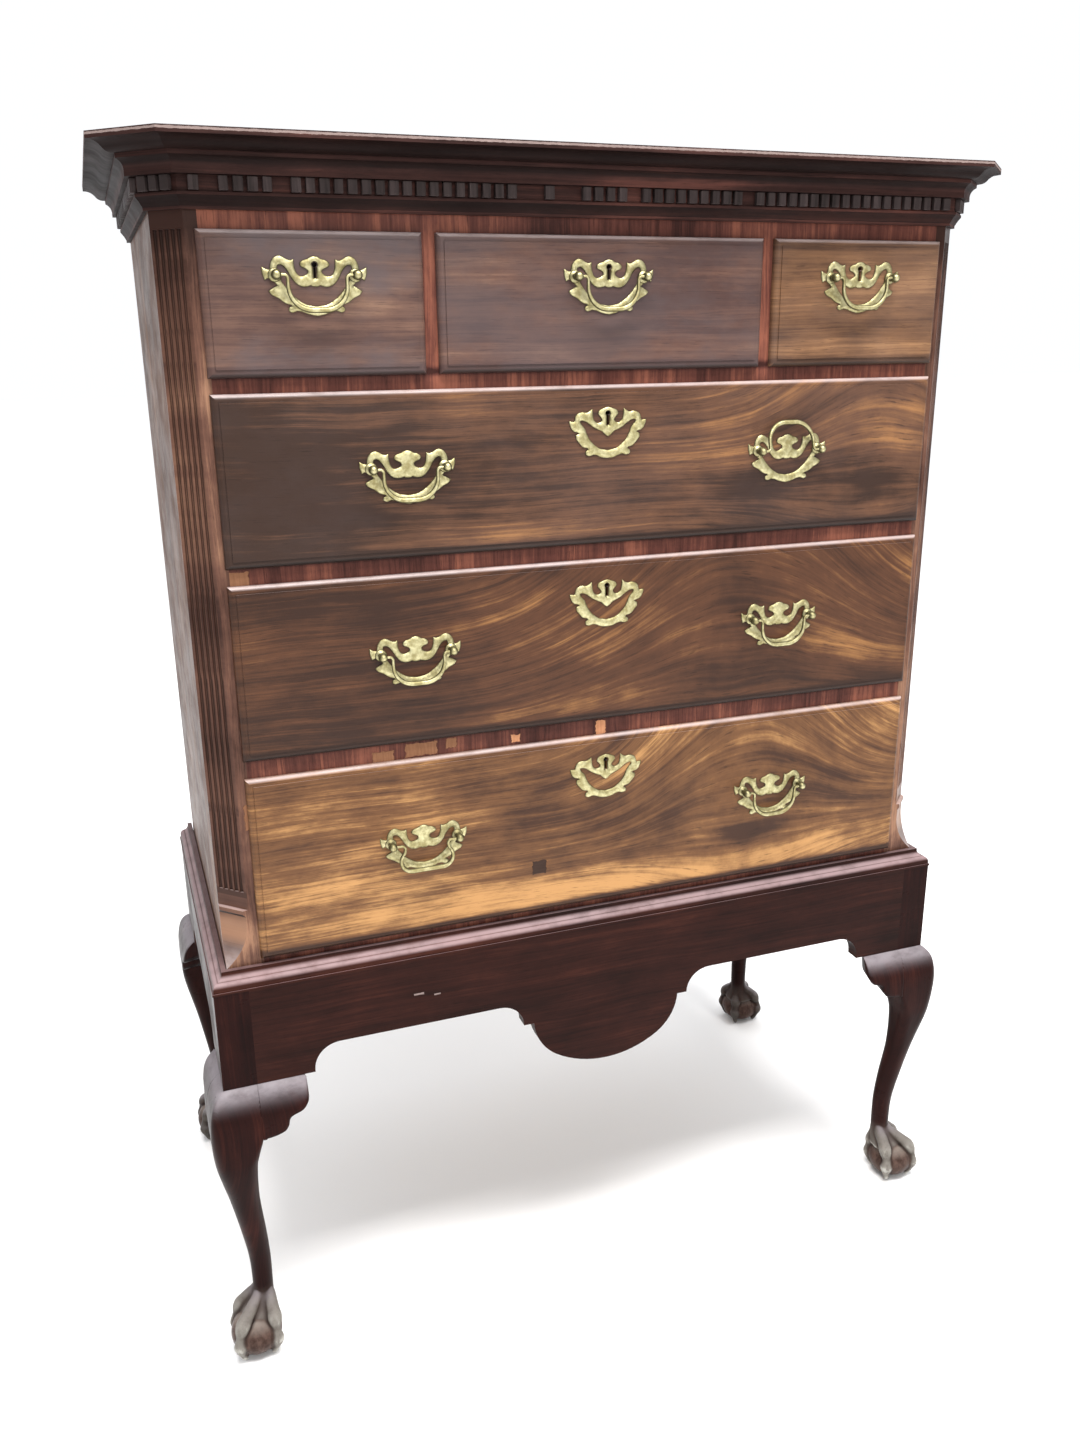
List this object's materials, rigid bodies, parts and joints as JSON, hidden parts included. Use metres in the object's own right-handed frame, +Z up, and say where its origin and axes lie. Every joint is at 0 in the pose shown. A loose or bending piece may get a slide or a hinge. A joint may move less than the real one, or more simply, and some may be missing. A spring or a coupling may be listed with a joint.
{
  "type": "highboy",
  "caption": "Mahogany chest of drawers on a stand with cabriole legs, claw feet, fluted corners and a dentil cornice.",
  "frame": {"origin": "centre of the bounding box, on the floor", "axes": "+X to the viewer's right, +Y to the back, +Z up; the drawers open towards -Y"},
  "size_m": [1.152, 0.6, 1.565],
  "materials": {
    "mahogany_drawer": "satin",
    "mahogany_rail": "satin",
    "mahogany_side": "satin",
    "mahogany_stand": "satin",
    "mahogany_cornice": "satin",
    "secondary_wood": "matte",
    "brass": "satin",
    "lock_steel": "worn"
  },
  "bodies": {
    "carcase": {"side_left": "mahogany_side", "side_right": "mahogany_side", "case_bottom": "secondary_wood", "case_top": "mahogany_cornice", "back_boards": "secondary_wood", "rails_and_dividers": "mahogany_rail", "runners_and_guides": "secondary_wood", "dust_boards": "secondary_wood", "fluted_corner_left": "mahogany_rail", "fluted_corner_right": "mahogany_rail", "cornice": "mahogany_cornice", "dentils": "mahogany_cornice", "stand_moulding": "mahogany_stand", "front_apron": "mahogany_stand", "side_aprons": "mahogany_stand", "inner_rails": "secondary_wood", "leg_front_left": "mahogany_stand", "leg_back_left": "mahogany_stand", "leg_front_right": "mahogany_stand", "leg_back_right": "mahogany_stand", "knee_brackets": "mahogany_stand"},
    "short_left_drawer": {"short_left_front": "mahogany_drawer", "short_left_box": "secondary_wood", "short_left_lock": "lock_steel", "short_left_brasses": "brass"},
    "short_left_bolt_slide_part": {"short_left_bolt": "lock_steel"},
    "short_left_bail_swing": {"short_left_bail": "brass"},
    "short_middle_drawer": {"short_middle_front": "mahogany_drawer", "short_middle_box": "secondary_wood", "short_middle_lock": "lock_steel", "short_middle_brasses": "brass"},
    "short_middle_bolt_slide_part": {"short_middle_bolt": "lock_steel"},
    "short_middle_bail_swing": {"short_middle_bail": "brass"},
    "short_right_drawer": {"short_right_front": "mahogany_drawer", "short_right_box": "secondary_wood", "short_right_lock": "lock_steel", "short_right_brasses": "brass"},
    "short_right_bolt_slide_part": {"short_right_bolt": "lock_steel"},
    "short_right_bail_swing": {"short_right_bail": "brass"},
    "long_upper_drawer": {"long_upper_front": "mahogany_drawer", "long_upper_box": "secondary_wood", "long_upper_lock": "lock_steel", "long_upper_brasses": "brass"},
    "long_upper_bolt_slide_part": {"long_upper_bolt": "lock_steel"},
    "long_upper_bail_left_swing": {"long_upper_bail_left": "brass"},
    "long_upper_bail_right_swing": {"long_upper_bail_right": "brass"},
    "long_middle_drawer": {"long_middle_front": "mahogany_drawer", "long_middle_box": "secondary_wood", "long_middle_lock": "lock_steel", "long_middle_brasses": "brass"},
    "long_middle_bolt_slide_part": {"long_middle_bolt": "lock_steel"},
    "long_middle_bail_left_swing": {"long_middle_bail_left": "brass"},
    "long_middle_bail_right_swing": {"long_middle_bail_right": "brass"},
    "long_lower_drawer": {"long_lower_front": "mahogany_drawer", "long_lower_box": "secondary_wood", "long_lower_lock": "lock_steel", "long_lower_brasses": "brass"},
    "long_lower_bolt_slide_part": {"long_lower_bolt": "lock_steel"},
    "long_lower_bail_left_swing": {"long_lower_bail_left": "brass"},
    "long_lower_bail_right_swing": {"long_lower_bail_right": "brass"}
  },
  "joints": [
    {"name": "short_left_slide", "type": "slide", "parent": "carcase", "child": "short_left_drawer", "axis": [0, -1, 0], "range_m": [0, 0.38]},
    {"name": "short_left_lock_bolt", "type": "slide", "parent": "short_left_drawer", "child": "short_left_bolt_slide_part", "axis": [0, 0, 1], "range_m": [0, 0.008]},
    {"name": "short_left_bail_hinge", "type": "hinge", "parent": "short_left_drawer", "child": "short_left_bail_swing", "pos_m": [-0.35225, -0.267, 1.4265], "axis": [-1, 0, 0], "range_deg": [0, 165]},
    {"name": "short_middle_slide", "type": "slide", "parent": "carcase", "child": "short_middle_drawer", "axis": [0, -1, 0], "range_m": [0, 0.38]},
    {"name": "short_middle_lock_bolt", "type": "slide", "parent": "short_middle_drawer", "child": "short_middle_bolt_slide_part", "axis": [0, 0, 1], "range_m": [0, 0.008]},
    {"name": "short_middle_bail_hinge", "type": "hinge", "parent": "short_middle_drawer", "child": "short_middle_bail_swing", "pos_m": [0, -0.267, 1.4265], "axis": [-1, 0, 0], "range_deg": [0, 165]},
    {"name": "short_right_slide", "type": "slide", "parent": "carcase", "child": "short_right_drawer", "axis": [0, -1, 0], "range_m": [0, 0.38]},
    {"name": "short_right_lock_bolt", "type": "slide", "parent": "short_right_drawer", "child": "short_right_bolt_slide_part", "axis": [0, 0, 1], "range_m": [0, 0.008]},
    {"name": "short_right_bail_hinge", "type": "hinge", "parent": "short_right_drawer", "child": "short_right_bail_swing", "pos_m": [0.35225, -0.267, 1.4265], "axis": [-1, 0, 0], "range_deg": [0, 165]},
    {"name": "long_upper_slide", "type": "slide", "parent": "carcase", "child": "long_upper_drawer", "axis": [0, -1, 0], "range_m": [0, 0.38]},
    {"name": "long_upper_lock_bolt", "type": "slide", "parent": "long_upper_drawer", "child": "long_upper_bolt_slide_part", "axis": [0, 0, 1], "range_m": [0, 0.008]},
    {"name": "long_upper_bail_left_hinge", "type": "hinge", "parent": "long_upper_drawer", "child": "long_upper_bail_left_swing", "pos_m": [-0.257, -0.267, 1.21378], "axis": [-1, 0, 0], "range_deg": [0, 165]},
    {"name": "long_upper_bail_right_hinge", "type": "hinge", "parent": "long_upper_drawer", "child": "long_upper_bail_right_swing", "pos_m": [0.257, -0.267, 1.21378], "axis": [1, 0, 0], "range_deg": [0, 195]},
    {"name": "long_middle_slide", "type": "slide", "parent": "carcase", "child": "long_middle_drawer", "axis": [0, -1, 0], "range_m": [0, 0.38]},
    {"name": "long_middle_lock_bolt", "type": "slide", "parent": "long_middle_drawer", "child": "long_middle_bolt_slide_part", "axis": [0, 0, 1], "range_m": [0, 0.008]},
    {"name": "long_middle_bail_left_hinge", "type": "hinge", "parent": "long_middle_drawer", "child": "long_middle_bail_left_swing", "pos_m": [-0.257, -0.267, 0.98882], "axis": [-1, 0, 0], "range_deg": [0, 165]},
    {"name": "long_middle_bail_right_hinge", "type": "hinge", "parent": "long_middle_drawer", "child": "long_middle_bail_right_swing", "pos_m": [0.257, -0.267, 0.98882], "axis": [-1, 0, 0], "range_deg": [0, 165]},
    {"name": "long_lower_slide", "type": "slide", "parent": "carcase", "child": "long_lower_drawer", "axis": [0, -1, 0], "range_m": [0, 0.38]},
    {"name": "long_lower_lock_bolt", "type": "slide", "parent": "long_lower_drawer", "child": "long_lower_bolt_slide_part", "axis": [0, 0, 1], "range_m": [0, 0.008]},
    {"name": "long_lower_bail_left_hinge", "type": "hinge", "parent": "long_lower_drawer", "child": "long_lower_bail_left_swing", "pos_m": [-0.257, -0.267, 0.73727], "axis": [-1, 0, 0], "range_deg": [0, 165]},
    {"name": "long_lower_bail_right_hinge", "type": "hinge", "parent": "long_lower_drawer", "child": "long_lower_bail_right_swing", "pos_m": [0.257, -0.267, 0.73727], "axis": [-1, 0, 0], "range_deg": [0, 165]}
  ]
}
